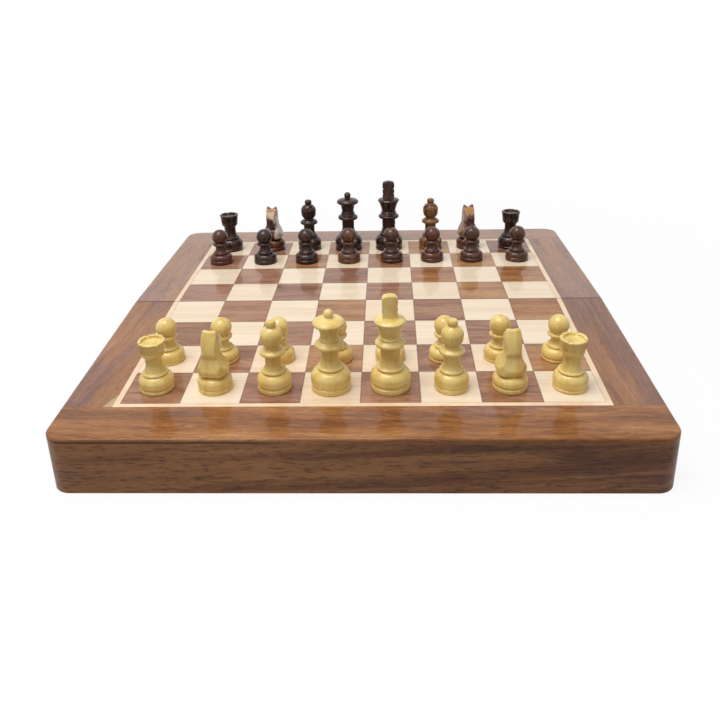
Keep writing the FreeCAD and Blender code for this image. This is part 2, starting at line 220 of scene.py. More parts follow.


# Node, whether it runs along Y, its place in the log, and its tilt, dusk, contrast and painted
# sheen, the grey that stands in for the reflection of the pale surround.
rails = (
    ("rear_outer_rail", False, (0.53, 0.31, 0.07), -0.8, 0.7, 0.9, 0.5),
    ("front_right_rail", True, (0.71, 0.17, 0.04), -1.5, 0.9, 0.8, 0.12),
    ("rear_left_rail", True, (0.37, 0.83, 0.03), 4.0, 0.7, 1.0, 0.35),
    ("rear_right_rail", True, (0.05, 0.45, 0.06), -3.0, 0.8, 0.8, 0.35),
)
for rail, *cut in rails:
    finish_node(rail, sheesham_finish(rail + "_sheesham", *cut)[0])

# The face of the front rail cuts slantwise through the heartwood, which shows as dark flames and,
# under the top edge at the left, as one thin dark line.
line_depth = 0.0026
line_width = 0.0007
line_wander = 0.0016
line_end = -0.025
line_fade = 0.03
straw_colour = (0.36, 0.175, 0.075, 1.0)
flame_colour = (0.085, 0.034, 0.026, 1.0)
material, shader, place, colour = sheesham_finish(
    "front_outer_rail_sheesham", False, (0.11, 0.0, 0.02), 1.6, dusk=0.4, contrast=1.4,
)
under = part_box("front_outer_rail")[1].z - part_of(place, "Z")
face = between(under, 0.002, 0.005)
slant = placed(place, (0.3, 0.0, 0.0), (0.0, math.radians(3), 0.0))
flames = noise(slant, (6.0, 60.0, 140.0), 3.0, 0.6)
flames = between(flames + part_of(place, "X") * 0.9, 0.46, 0.64)
strokes = between(noise(place, (140.0, 900.0, 900.0), 2.0), 0.52, 0.66)
wander = (noise(place, (30.0, 30.0, 30.0)) - 0.5) * line_wander
off_line = (under - line_depth + wander) / line_width
line = 1.0 - between(off_line * off_line, 0.3, 1.0)
line = line * between(line_end - part_of(place, "X"), 0.0, line_fade)
colour = mix(face * 0.5 - face * flames * 0.5, colour, straw_colour)
colour = mix(face * flames * 0.46, colour, flame_colour)
colour = mix(face * strokes * 0.55, colour, pore_colour)
colour = mix(line * 0.75, colour, pore_colour)
thin_coat = lacquer["Coat_Weight"] - between(under, 0.0002, 0.001) * 0.35
feed(shader, Base_Color=colour, Coat_Weight=thin_coat)
finish_node("front_outer_rail", material)

# The front left rail was sawn from the edge of the log: a wedge of pale sapwood is left at its
# front end.
sapwood_length = 0.013
sapwood_width = 0.0058
sapwood_colour = (0.5, 0.37, 0.2, 1.0)
material, shader, place, colour = sheesham_finish(
    "front_left_rail_sheesham", True, (0.23, 0.6, 0.01), 6.0, dusk=0.6, contrast=0.9, painted_sheen=0.12,
)
rail_low, rail_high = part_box("front_left_rail")
from_inside = (rail_high.x - part_of(place, "X")) / sapwood_width
from_front = (part_of(place, "Y") - rail_low.y) / sapwood_length
ragged = (noise(place, (500.0, 120.0, 120.0), 3.0) - 0.5) * 0.5
wedge = between(1.0 - from_inside - from_front + ragged, 0.0, 0.22)
feed(shader, Base_Color=mix(wedge * 0.85, colour, sapwood_colour))
finish_node("front_left_rail", material)


# Seam walls and decks
# A rail of the same wood closes each half under the seam and takes the hinge screws. The deck is a
# thin sheet of birch plywood, tongued into the rails, that carries the playing surface.
for half in ("front", "rear"):
    wall = sheesham_finish(half + "_wall_sheesham", False, (0.9, 0.2, 0.5), 0.3)[0]
    finish_node(half + "_seam_wall", wall)


def plywood_finish():
    material, shader, place = new_finish("birch_plywood", Roughness=0.6)
    long_grain = noise(place, (12.0, 400.0, 400.0), 3.0)
    colour = ramp(long_grain, ((0.3, (0.42, 0.28, 0.15)), (0.7, (0.6, 0.44, 0.26))))
    feed(shader, Base_Color=colour, Normal=grain_bump(long_grain, 0.15, 0.0001))
    return material


plywood = plywood_finish()
for half in ("front", "rear"):
    finish_node(half + "_deck_panel", plywood)


# Steel sheets
# Thin rolled steel glued down between the deck and the squares. The magnets in the men's feet hold
# to it through the wood.
def sheet_steel_finish():
    material, shader, place = new_finish("rolled_steel", Metallic=1.0)
    rolled = noise(place, (30.0, 900.0, 900.0), 3.0)
    feed(shader, Base_Color=ramp(rolled, ((0.3, (0.42, 0.43, 0.45)), (0.7, (0.6, 0.61, 0.63)))))
    feed(shader, Roughness=0.3 + rolled * 0.25)
    return material


sheet_steel = sheet_steel_finish()
for half in ("front", "rear"):
    finish_node(half + "_steel_sheet", sheet_steel)


# Squares
# Squares of sheesham and maple, glued down with their grain across the board, each cut from another
# place in the wood, and rubbed down flush before the whole top is lacquered.
square = 0.0311
joint_width = 0.0002
hinge_axis_height = frame["joints"][0]["pos_m"][2]
lift_axis = frame["joints"][1]["axis"]
lean = math.atan2(abs(lift_axis[1]), lift_axis[2])


def lie(half):
    """Brings a half's own frame, hinge axis along X and squares level, to where it lies."""
    facing = math.pi if half == "front" else 0.0
    stand = Matrix.Translation((0, 0, hinge_axis_height))
    return stand @ Matrix.Rotation(facing, 4, "Z") @ Matrix.Rotation(-lean, 4, "X")


def own_box(node, half):
    """Lowest and highest corners of a node in its half's own frame."""
    back = lie(half).inverted()
    spots = [back @ vertex.co for vertex in nodes[node].data.vertices]
    low = Vector(min(spot[i] for spot in spots) for i in range(3))
    high = Vector(max(spot[i] for spot in spots) for i in range(3))
    return low, high


def tile_places(place, half):
    """Coordinates in a half's squares, the lot drawn for each square, and the joints between."""
    row_end = own_box(half + "_dark_squares", half)[1].y
    level = placed(place, turn=(lean if half == "rear" else -lean, 0, 0))
    start = (0.0, row_end if half == "front" else -row_end, 0.0)
    level = placed(level, start)
    counted = level.node("VectorMath", {"operation": "SCALE"}, {0: level, "Scale": 1.0 / square})
    cell = level.node("VectorMath", {"operation": "FLOOR"}, {0: counted})
    cell = level.node("VectorMath", {"operation": "MULTIPLY"}, {0: cell, 1: (1.0, 1.0, 0.0)})
    seed = {"front": (0.0, 0.0, 3.0), "rear": (0.0, 0.0, 8.0)}[half]
    cell = level.node("VectorMath", {"operation": "ADD"}, {0: cell, 1: seed})
    lot = level.node("TexWhiteNoise", {"noise_dimensions": "3D"}, {"Vector": cell}, output=1)
    within = level.node("VectorMath", {"operation": "FRACTION"}, {0: counted})
    within = level.node("VectorMath", {"operation": "SUBTRACT"}, {0: within, 1: (0.5, 0.5, 0.5)})
    within = level.node("VectorMath", {"operation": "ABSOLUTE"}, {0: within})
    edge = within.math("MAXIMUM", part_of(within, "X"), part_of(within, "Y"))
    joint = between(edge, 0.5 - 2 * joint_width / square, 0.5 - joint_width / square)
    tile = level.node("VectorMath", {"operation": "ADD"}, {0: lot, 1: level})
    return tile, lot, joint


maple_tones = (
    (0.3, (0.7, 0.51, 0.32)), (0.45, (0.79, 0.62, 0.44)),
    (0.6, (0.85, 0.71, 0.54)), (0.75, (0.88, 0.76, 0.61)),
)
maple_fleck_colour = (0.5, 0.31, 0.16, 1.0)
maple_joint_colour = (0.12, 0.055, 0.03, 1.0)


def dark_square_finish(half):
    material, shader, place = new_finish(half + "_sheesham_squares", **lacquer)
    tile, lot, joint = tile_places(place, half)
    tone, veins, fibres, pores = sawn_grain(tile, band=100.0, line=420.0, contrast=1.4)
    # Painted sheen: broad bright patches in the tone stand in for the chatoyant reflection of the
    # wood.
    sheen = noise(tile, (20.0, 40.0, 40.0), 2.0, 1.0) - 0.5
    tone = tone + sheen * 0.3 + (part_of(lot, "Z") - 0.5) * 0.14 + 0.13
    golden = between(part_of(lot, "X"), 0.35, 0.9)
    colour = mix(golden, ramp(tone, dusky_tones), ramp(tone, golden_tones))
    colour = mix(veins * 0.35, colour, vein_colour)
    colour = mix(pores * 0.45, colour, pore_colour)
    colour = mix(joint * 0.6, colour, pore_colour)
    feed(shader, Base_Color=colour, Roughness=0.34 + fibres * 0.16)
    feed(shader, Normal=grain_bump(fibres - pores - joint * 2.0, 0.09, 0.00005))
    return material


def maple_square_finish(half):
    material, shader, place = new_finish(half + "_maple_squares", **lacquer)
    tile, lot, joint = tile_places(place, half)
    broad = noise(tile, (6.0, 90.0, 90.0), 3.0, 0.4)
    lines = noise(tile, (8.0, 700.0, 700.0), 3.0)
    flecks = between(noise(tile, (260.0, 1500.0, 1500.0), 1.0), 0.66, 0.76)
    tone = broad * 0.45 + lines * 0.4 + (part_of(lot, "Z") - 0.5) * 0.12 + 0.1
    colour = mix(flecks * 0.25, ramp(tone, maple_tones), maple_fleck_colour)
    colour = mix(joint * 0.55, colour, maple_joint_colour)
    feed(shader, Base_Color=colour, Roughness=0.33 + lines * 0.14)
    feed(shader, Normal=grain_bump(lines - joint * 2.0, 0.06, 0.00004))
    return material


for half in ("front", "rear"):
    finish_node(half + "_dark_squares", dark_square_finish(half))
    finish_node(half + "_light_squares", maple_square_finish(half))


# Stringing
# A narrow strip of maple let in between the squares and the rails on the three outer sides, glued
# and rubbed down flush with both.
def stringing_finish():
    material, shader, place = new_finish("maple_stringing", **lacquer)
    fine = noise(place, (90.0, 90.0, 600.0), 3.0)
    feed(shader, Base_Color=ramp(fine, ((0.3, (0.76, 0.53, 0.33)), (0.7, (0.87, 0.68, 0.48)))))
    feed(shader, Roughness=0.3 + fine * 0.14, Normal=grain_bump(fine, 0.06, 0.00004))
    return material


stringing = stringing_finish()
for half in ("front", "rear"):
    finish_node(half + "_stringing", stringing)


# Store linings
# Green wool felt glued under the deck and down the four walls of each store, soft at its corners
# and cut off a little short of the rim.
felt_thickness = 0.001
felt_corner = 0.0022
felt_corner_steps = 5
felt_fold_angle = math.radians(40)


def wool_felt_finish(name, stops):
    material, shader, place = new_finish(name, Roughness=0.95, Sheen_Weight=0.4, Sheen_Roughness=0.5)
    wool = noise(place, (2600.0, 2600.0, 2600.0), 4.0)
    cloud = noise(place, (60.0, 60.0, 60.0), 3.0)
    feed(shader, Base_Color=ramp(wool * 0.7 + cloud * 0.3, stops))
    feed(shader, Normal=grain_bump(wool, 0.7, 0.0003))
    return material


green_tones = (0.3, (0.012, 0.06, 0.03)), (0.7, (0.04, 0.14, 0.075))
green_felt = wool_felt_finish("green_felt", green_tones)


def select_faces(piece, wanted):
    """Selects in edit mode the faces that the test wants."""
    bpy.ops.mesh.select_all(action="DESELECT")
    bpy.ops.mesh.select_mode(type="FACE")
    bpy.ops.object.mode_set(mode="OBJECT")
    for face in piece.data.polygons:
        face.select = wanted(face)
    bpy.ops.object.mode_set(mode="EDIT")


def new_block(name, low, high):
    """Block between two corners, alone selected, with its place in its mesh."""
    bpy.ops.object.select_all(action="DESELECT")
    bpy.ops.mesh.primitive_cube_add(size=1.0, location=(low + high) / 2, scale=high - low)
    piece = bpy.context.object
    piece.name = name
    bpy.ops.object.transform_apply(location=True, rotation=True, scale=True)
    return piece


def apply_modifier(piece, kind, **settings):
    modifier = piece.modifiers.new("shaping", kind)
    for name, value in settings.items():
        setattr(modifier, name, value)
    bpy.context.view_layer.objects.active = piece
    bpy.ops.object.modifier_apply(modifier="shaping")


for half in ("front", "rear"):
    low, high = own_box(half + "_felt_lining", half)
    lining = new_block(half + "_store_lining", low, high)
    bpy.ops.object.mode_set(mode="EDIT")
    select_faces(lining, lambda face: face.normal.z < -0.9)
    bpy.ops.mesh.delete(type="FACE")
    bpy.ops.mesh.select_all(action="SELECT")
    bpy.ops.mesh.bevel(offset=felt_corner, segments=felt_corner_steps, affect="EDGES")
    bpy.ops.object.mode_set(mode="OBJECT")
    apply_modifier(lining, "SOLIDIFY", thickness=felt_thickness, offset=-1.0)
    bpy.ops.object.shade_smooth_by_angle(angle=felt_fold_angle)
    lining.data.transform(lie(half))
    lining.data.materials.append(green_felt)
    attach(lining, half + "_half")
    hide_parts(half + "_felt_lining")


# Closing magnets
# Nickel-plated discs, two to a half, pressed into blind holes in the rims of the outer rails, a hair
# below the wood.
def nickel_finish():
    material, shader, place = new_finish("nickel_plate", Metallic=1.0)
    scuffs = noise(place, (700.0, 700.0, 700.0), 4.0, 1.0)
    feed(shader, Base_Color=ramp(scuffs, ((0.3, (0.5, 0.49, 0.46)), (0.7, (0.68, 0.67, 0.64)))))
    feed(shader, Roughness=0.16 + scuffs * 0.2)
    return material


nickel = nickel_finish()
for half in ("front", "rear"):
    finish_node(half + "_closing_magnets", nickel)


# Hinges
# Two stamped brass butt hinges, screwed to the seam walls through countersunk holes, their knuckles
# rolled round steel pins.
def brass_finish():
    material, shader, place = new_finish("stamped_brass", Metallic=1.0)
    brushed = noise(place, (60.0, 1800.0, 1800.0), 3.0)
    stain = noise(place, (90.0, 90.0, 90.0), 3.0)
    tones = (0.35, (0.45, 0.27, 0.075)), (0.65, (0.66, 0.45, 0.16))
    colour = ramp(brushed * 0.5 + stain * 0.5, tones)
    feed(shader, Base_Color=colour, Roughness=0.22 + brushed * 0.22)
    feed(shader, Normal=grain_bump(brushed, 0.12, 0.00004))
    return material


brass = brass_finish()
for half in ("front", "rear"):
    finish_node(half + "_hinge_leaves", brass)
    finish_node(half + "_hinge_screws", brass)
finish_node("hinge_pins", sheet_steel)


# Chessmen
# Each man is turned on a lathe from one billet, boxwood for white and rosewood for black, polished
# on the lathe and felted underneath. An outline row is a radius, as a share of the base radius, a
# height in millimetres, and how far the stretch that ends there bulges, as a share of its chord.
millimetre = 0.001
lathe_steps = 72
arc_steps = 8
spin_gap = 0.000002
weld_gap = 0.000005
sanded_edge = 0.00014
sharp_angle = math.radians(32)
smooth_angle = math.radians(50)
standing_gap = 0.00003


def foot_rows(groove):
    """Straight foot with eased edges, up to the groove under the bulge of the base."""
    eased = 0.35
    return (
        (0.965, 0.0, 0), (1.0, eased, 0), (1.0, groove - eased, 0),
        (0.945, groove, 0), (0.935, groove + 0.1, 0),
    )


def scaled_rows(rows, width, start, height):
    """Rows brought to size, with their heights counted from a start."""
    return [(r * width, start + z * height, bulge) for r, z, bulge in rows]


def arc(start, end, bulge):
    """Points after start on the way to end, on an arc that stands out to the right."""
    if bulge == 0:
        return [end]
    chord = end - start
    ahead = chord.normalized()
    side = Vector((ahead.z, 0.0, -ahead.x))
    half_angle = 2 * math.atan(2 * bulge)
    radius = chord.length / (2 * math.sin(half_angle))
    centre = (start + end) / 2 - side * radius * math.cos(half_angle)
    points = []
    for step in range(1, arc_steps + 1):
        angle = half_angle * (2 * step / arc_steps - 1)
        points.append(centre + radius * (side * math.cos(angle) + ahead * math.sin(angle)))
    return points


def cap_bulge(start, end):
    """Bulge of a round top that meets the axis squarely."""
    rise = end.z - start.z
    ball = (start.x ** 2 + rise ** 2) / (2 * rise)
    chord = (end - start).length
    return (ball - math.sqrt(ball ** 2 - chord ** 2 / 4)) / chord


def man_outline(rows, radius):
    """Outline from the middle of the foot to the middle of the top."""
    points = [Vector((0.0, 0.0, 0.0))]
    for r, z, bulge in scaled_rows(rows, radius, 0.0, millimetre):
        end = Vector((r, 0.0, z))
        if r == 0 and bulge == 0:
            bulge = cap_bulge(points[-1], end)
        points += arc(points[-1], end, bulge)
    if points[-1].x > 0:
        points.append(Vector((0.0, 0.0, points[-1].z)))
    return points


def draw_chain(name, points):
    """Line of vertices drawn point by point from a single vertex, left selected in edit mode."""
    bpy.ops.object.select_all(action="DESELECT")
    bpy.ops.mesh.primitive_plane_add(size=millimetre)
    piece = bpy.context.object
    piece.name = name
    bpy.ops.object.mode_set(mode="EDIT")
    bpy.ops.mesh.select_mode(type="VERT")
    bpy.ops.mesh.select_all(action="SELECT")
    bpy.ops.mesh.merge(type="CENTER")
    bpy.ops.transform.translate(value=points[0])
    for start, end in zip(points, points[1:]):
        bpy.ops.mesh.extrude_vertices_move(TRANSFORM_OT_translate={"value": end - start})
    bpy.ops.mesh.select_all(action="SELECT")
    return piece


def turn_on_lathe(name, points):
    """Solid with the outline of the points all round the upright axis."""
    billet = draw_chain(name, points)
    bpy.ops.mesh.spin(steps=lathe_steps, angle=math.tau, center=(0, 0, 0), axis=(0, 0, 1))
    bpy.ops.mesh.select_all(action="SELECT")
    bpy.ops.mesh.remove_doubles(threshold=spin_gap)
    bpy.ops.mesh.normals_make_consistent(inside=False)
    bpy.ops.object.mode_set(mode="OBJECT")
    return billet


def weld(piece):
    """Joins points that all but touch, and drops the faces that this closes up."""
    bpy.ops.object.select_all(action="DESELECT")
    piece.select_set(True)
    bpy.context.view_layer.objects.active = piece
    bpy.ops.object.mode_set(mode="EDIT")
    bpy.ops.mesh.select_mode(type="VERT")
    bpy.ops.mesh.select_all(action="SELECT")
    bpy.ops.mesh.remove_doubles(threshold=weld_gap)
    bpy.ops.mesh.dissolve_degenerate(threshold=weld_gap)
    bpy.ops.object.mode_set(mode="OBJECT")


def round_edges(piece, width, steps, angle):
    apply_modifier(
        piece, "BEVEL", width=width, segments=steps, limit_method="ANGLE", angle_limit=angle,
    )


def ease_edges(piece):
    """Sanded edges: a narrow round on every sharp edge, then smooth shading."""
    weld(piece)
    round_edges(piece, sanded_edge, 2, sharp_angle)
    weld(piece)
    bpy.ops.object.shade_smooth_by_angle(angle=smooth_angle)


def carve(piece, tool, operation):
    """Cuts a piece with a tool, or joins the tool to it, and puts the tool away."""
    apply_modifier(piece, "BOOLEAN", object=tool, operation=operation, solver="EXACT")
    bpy.data.objects.remove(tool)


def men_wood_finish(name, stops, band, veins, polish):
    """Polished wood with its grain upright in the man, dark veins where the wood has them."""
    material, shader, place = new_finish(name, **polish)
    bands = noise(place, (band, band, 26.0), 3.0, 0.5)
    fibres = noise(place, (1500.0, 1500.0, 70.0), 2.0)
    vein = between(noise(place, (band * 2.0, band * 2.0, 30.0), 2.0), 0.56, 0.7) * veins
    colour = mix(vein, ramp(bands * 0.82 + fibres * 0.18, stops), pore_colour)
    feed(shader, Base_Color=colour, Roughness=0.28 + fibres * 0.12)
    feed(shader, Normal=grain_bump(fibres, 0.05, 0.00004))
    return material


boxwood_tones = (
    (0.3, (0.64, 0.41, 0.1)), (0.45, (0.75, 0.53, 0.155)),
    (0.58, (0.81, 0.62, 0.21)), (0.72, (0.85, 0.69, 0.28)),
)
black_tones = (
    (0.3, (0.012, 0.004, 0.003)), (0.5, (0.03, 0.009, 0.006)), (0.72, (0.07, 0.022, 0.013)),
)
brown_tones = (
    (0.3, (0.025, 0.009, 0.005)), (0.5, (0.07, 0.025, 0.011)), (0.72, (0.17, 0.066, 0.025)),
)
red_tones = (
    (0.3, (0.035, 0.01, 0.006)), (0.5, (0.085, 0.024, 0.012)), (0.72, (0.15, 0.045, 0.02)),
)
amber_tones = (
    (0.3, (0.07, 0.022, 0.008)), (0.48, (0.16, 0.058, 0.016)), (0.72, (0.34, 0.15, 0.045)),
)
soft_polish = {"Specular_IOR_Level": 0.1, "Coat_Weight": 0.75, "Coat_Roughness": 0.2}
high_polish = {"Specular_IOR_Level": 0.14, "Coat_Weight": 0.5, "Coat_Roughness": 0.1}
boxwood = men_wood_finish("boxwood", boxwood_tones, 130.0, 0.0, soft_polish)
black_rosewood = men_wood_finish("black_rosewood", black_tones, 220.0, 0.4, high_polish)
brown_rosewood = men_wood_finish("brown_rosewood", brown_tones, 200.0, 0.5, high_polish)
red_rosewood = men_wood_finish("red_rosewood", red_tones, 200.0, 0.4, high_polish)
amber_rosewood = men_wood_finish("amber_rosewood", amber_tones, 190.0, 0.35, high_polish)
foot_tones = (0.3, (0.02, 0.07, 0.04)), (0.7, (0.05, 0.15, 0.085))
foot_felt = wool_felt_finish("foot_felt", foot_tones)


def seat(node):
    """Puts a man that stands at the origin, facing -Y, on its square, facing the seam."""
    half = "front" if node.startswith("white") else "rear"
    low, high = own_box(node, half)
    middle = (low + high) / 2
    return lie(half) @ Matrix.Translation((middle.x, middle.y, low.z + standing_gap))


def set_out(pattern, node, turn=0, finish=None):
    """Stands a copy of a man on the board in place of its CAD node."""
    man = pattern.copy()
    man.data = pattern.data.copy()
    man.name = node + "_turned"
    bpy.context.scene.collection.objects.link(man)
    white = node.startswith("white")
    man.data.materials.clear()
    man.data.materials.append(finish or (boxwood if white else black_rosewood))
    man.data.materials.append(foot_felt)
    for face in man.data.polygons:
        underneath = face.normal.z < -0.99 and face.center.z < 0.0001
        face.material_index = 1 if underneath else 0
    man.data.transform(seat(node) @ Matrix.Rotation(math.radians(turn), 4, "Z"))
    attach(man, node)
    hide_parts(node)


# Pawns
# A slightly flattened ball on a round collar, a waisted stem with a bead at its foot, and a bulged
# base, lower in the foot on the white ones. On two, the lathe's point was never sanded off.
white_foot = *foot_rows(1.55), (1.0, 3.9, 0.13)
black_foot = *foot_rows(2.9), (0.985, 4.5, 0.1)
pawn_rows = (
    (0.64, 7.2, 0.19), (0.615, 7.4, 0), (0.615, 8.7, 0.42), (0.56, 8.95, 0), (0.43, 12.9, -0.1),
    (0.55, 13.7, 0), (0.55, 15.9, 0.5), (0.48, 16.3, 0), (0.68, 21.0, 0.13),
)
ball_top = ((0.0, 25.8, 0),)
onion_top = (0.2, 25.6, 0.17), (0.07, 26.5, -0.1), (0.0, 27.3, 0)
nub_top = (0.12, 25.9, 0.19), (0.09, 26.5, 0), (0.0, 26.7, 0)
pawn_radius = 0.0085


def pawn_pattern(foot, top):
    pawn = turn_on_lathe("pawn_pattern", man_outline(foot + pawn_rows + top, pawn_radius))
    ease_edges(pawn)
    return pawn


white_pawn = pawn_pattern(white_foot, ball_top)
nub_pawn = pawn_pattern(white_foot, nub_top)
black_pawn = pawn_pattern(black_foot, ball_top)
onion_pawn = pawn_pattern(black_foot, onion_top)
pawn_finishes = {
    "a7": red_rosewood, "d7": brown_rosewood, "e7": brown_rosewood,
    "f7": red_rosewood, "g7": brown_rosewood, "h7": brown_rosewood,
}
for file in "abcdefgh":
    white_pattern = nub_pawn if file == "g" else white_pawn
    black_pattern = onion_pawn if file == "g" else black_pawn
    set_out(white_pattern, "white_pawn_" + file + "2")
    set_out(black_pattern, "black_pawn_" + file + "7", 0, pawn_finishes.get(file + "7"))
for pattern in (white_pawn, nub_pawn, black_pawn, onion_pawn):
    bpy.data.objects.remove(pattern)


# Rooks
# A hollowed cup on a tapered tower, turned in one piece with its base, and four small notches sawn
# across its rim.
rook_rows = (
    *foot_rows(1.95), (1.0, 4.4, 0.13), (0.745, 9.0, 0.17), (0.7, 9.25, 0), (0.69, 10.6, 0.42),
    (0.63, 10.9, 0), (0.48, 16.6, -0.07), (0.48, 18.3, 0), (0.63, 20.2, -0.08), (0.675, 21.4, 0.12),
    (0.685, 22.3, 0), (0.672, 22.45, 0), (0.69, 22.65, 0), (0.765, 27.8, 0), (0.775, 28.2, 0.15),
    (0.745, 28.6, 0.1), (0.6, 28.6, 0), (0.575, 28.1, 0.1), (0.56, 27.0, 0),
)
rook_radius = 0.0091
rook_height = 0.0286
notch_width = 0.0014
notch_depth = 0.0005
rook = turn_on_lathe("rook_pattern", man_outline(rook_rows, rook_radius))
rim = Vector((0, 0, rook_height))
for reach_x, reach_y in ((rook_radius, notch_width / 2), (notch_width / 2, rook_radius)):
    reach = Vector((reach_x, reach_y, notch_depth))
    carve(rook, new_block("notch_saw", rim - reach, rim + reach), "DIFFERENCE")
ease_edges(rook)
for node, turn in (
    ("white_rook_a1", 35), ("white_rook_h1", 60), ("black_rook_a8", 20), ("black_rook_h8", 50),
):
    set_out(rook, node, turn)
bpy.data.objects.remove(rook)


# Bishops
# A round mitre with a slanting saw cut and a knob, over a broad collar and a waisted stem. One of
# the black ones is of lighter, amber wood.
bishop_rows = (
    *foot_rows(2.6), (1.0, 5.2, 0.13), (0.69, 9.8, 0.19), (0.65, 10.1, 0), (0.65, 11.6, 0.42),
    (0.6, 11.9, 0), (0.465, 16.2, -0.09), (0.467, 19.6, 0), (0.63, 20.5, -0.05), (0.645, 22.9, 0.45),
    (0.57, 23.7, 0), (0.4, 24.6, -0.1), (0.39, 24.9, 0), (0.635, 29.6, 0.14), (0.256, 36.0, 0.2),
    (0.27, 36.4, 0), (0.28, 38.7, 0.12), (0.2, 39.5, 0.15), (0.0, 39.7, 0),
)
bishop_radius = 0.009
slit_width = 0.0007
slit_end = 0.0016
slit_height = 0.0308
slit_tilt = math.radians(-42)
bishop = turn_on_lathe("bishop_pattern", man_outline(bishop_rows, bishop_radius))
low = Vector((-bishop_radius, -bishop_radius, 0))
high = Vector((bishop_radius, -slit_end, slit_width))
saw = new_block("slit_saw", low, high)
saw.data.transform(Matrix.Translation((0, 0, slit_height)) @ Matrix.Rotation(slit_tilt, 4, "X"))
carve(bishop, saw, "DIFFERENCE")
ease_edges(bishop)
for node, turn, finish in (
    ("white_bishop_c1", 10, None), ("white_bishop_f1", -15, None),
    ("black_bishop_c8", 60, None), ("black_bishop_f8", 5, amber_rosewood),
):
    set_out(bishop, node, turn, finish)
bpy.data.objects.remove(bishop)


# Queens
# A ball on a domed coronet, a flared head on a double ring, a broad collar and a waisted stem, all
# turned in one piece.
queen_rows = (
    *foot_rows(3.05), (1.0, 6.2, 0.13), (0.635, 11.6, 0.19), (0.605, 11.8, 0), (0.605, 13.4, 0.42),
    (0.56, 13.7, 0), (0.45, 18.8, -0.09), (0.45, 23.0, 0), (0.61, 24.1, -0.05), (0.625, 26.9, 0.45),
    (0.55, 27.6, 0), (0.49, 28.3, -0.1), (0.49, 29.1, 0.35), (0.455, 29.3, 0), (0.46, 30.0, 0.3),
    (0.44, 30.3, 0), (0.51, 34.6, -0.04), (0.54, 35.4, -0.1), (0.71, 36.7, 0), (0.735, 39.1, 0.35),
    (0.62, 39.8, 0.1), (0.29, 40.6, 0.03), (0.19, 41.2, 0), (0.0, 45.5, 0),
)
queen_radius = 0.0105
queen = turn_on_lathe("queen_pattern", man_outline(queen_rows, queen_radius))
ease_edges(queen)
set_out(queen, "white_queen_d1")
set_out(queen, "black_queen_d8")
bpy.data.objects.remove(queen)


# Kings
# The same stem and collar under a flared head, topped by a flat finial cut from sheet wood, with a
# domed cap and two pairs of notches filed into its edges.
king_rows = (
    *foot_rows(3.05), (1.0, 6.2, 0.13), (0.69, 11.2, 0.19), (0.655, 11.4, 0), (0.655, 13.0, 0.42),
    (0.61, 13.3, 0), (0.49, 20.0, -0.09), (0.49, 24.1, 0), (0.65, 24.9, -0.05), (0.66, 27.3, 0.45),
    (0.6, 28.0, 0), (0.535, 28.7, -0.1), (0.535, 29.8, 0.35), (0.5, 30.3, 0), (0.75, 38.2, -0.04),
    (0.76, 39.2, 0.35), (0.62, 40.0, 0.1), (0.3, 40.6, 0.03),
)
king_radius = 0.0105
crown_height = 0.04
finial_depth = 0.0046
finial_tenon = 0.0004
finial_edge = 0.0005
finial_angle = math.radians(60)


def trace(rows):
    """Points along a line given by the rows of its turning points."""
    points = [Vector((rows[0][0], 0.0, rows[0][1]))]
    for x, z, bulge in rows[1:]:
        points += arc(points[-1], Vector((x, 0.0, z)), bulge)
    return points


def closed_outline(rows):
    """Points round an outline given by its right side, from the foot to the middle line."""
    right = trace(rows)
    return right + [Vector((-point.x, 0.0, point.z)) for point in reversed(right[:-1])]


def plate(name, points, depth):
    """Slab of an outline in the XZ plane, as deep to the front as to the rear."""
    slab = draw_chain(name, [point - Vector((0, depth / 2, 0)) for point in points])
    bpy.ops.mesh.edge_face_add()
    bpy.ops.mesh.extrude_region_move(TRANSFORM_OT_translate={"value": (0, depth, 0)})
    bpy.ops.mesh.select_all(action="SELECT")
    bpy.ops.mesh.normals_make_consistent(inside=False)
    bpy.ops.object.mode_set(mode="OBJECT")
    return slab


def king_pattern(finial_width, finial_height, notch):
    king = turn_on_lathe("king_pattern", man_outline(king_rows, king_radius))
    rows = (
        (0.93, 0.0, 0), (0.97, 0.17, 0), (0.98, 0.27, 0.1), (0.98, 0.37, -notch),
        (0.98, 0.53, 0.06), (0.98, 0.64, -notch), (1.0, 0.8, 0.05), (0.72, 0.96, 0.17),
        (0.0, 1.0, 0.03),
    )
    foot = crown_height - finial_tenon
    rows = scaled_rows(rows, finial_width / 2, foot, finial_height + finial_tenon)
    finial = plate("finial", closed_outline(rows), finial_depth)
    round_edges(finial, finial_edge, 3, finial_angle)
    carve(king, finial, "UNION")
    ease_edges(king)
    return king


for node, turn, width, height, notch in (
    ("white_king_e1", 4, 0.008, 0.0131, 0.16), ("black_king_e8", 0, 0.009, 0.0139, 0.4),
):
    king = king_pattern(width, height, notch)
    set_out(king, node, turn)
    bpy.data.objects.remove(king)


# Knights
# A horse's head and chest on a turned base, sawn to its outline from the side and from the front,
# with the mouth, eyes and nostrils cut in and the corners sanded soft. The black ones are streaked,
# and b8 has a painted highlight in cream on its flank.
knight_base_rows = (
    *foot_rows(2.5), (1.0, 4.9, 0.13), (0.74, 8.2, 0.18), (0.66, 8.4, 0), (0.6, 9.1, -0.1),
    (0.62, 10.0, 0),
)
side_rows = (
    (0.72, 0.063, 0), (0.8, 0.181, 0.15), (0.549, 0.328, 0.05), (0.297, 0.469, -0.08),
    (0.374, 0.542, 0), (0.725, 0.513, -0.1), (0.912, 0.572, 0.15), (0.879, 0.668, 0.15),
    (0.374, 0.86, 0.03), (0.11, 0.911, -0.05), (-0.08, 1.0, 0), (-0.3, 0.92, 0.12),
    (-0.66, 0.52, 0.05), (-0.58, 0.45, 0), (-0.8, 0.19, -0.03), (-0.72, 0.063, 0.1),
)
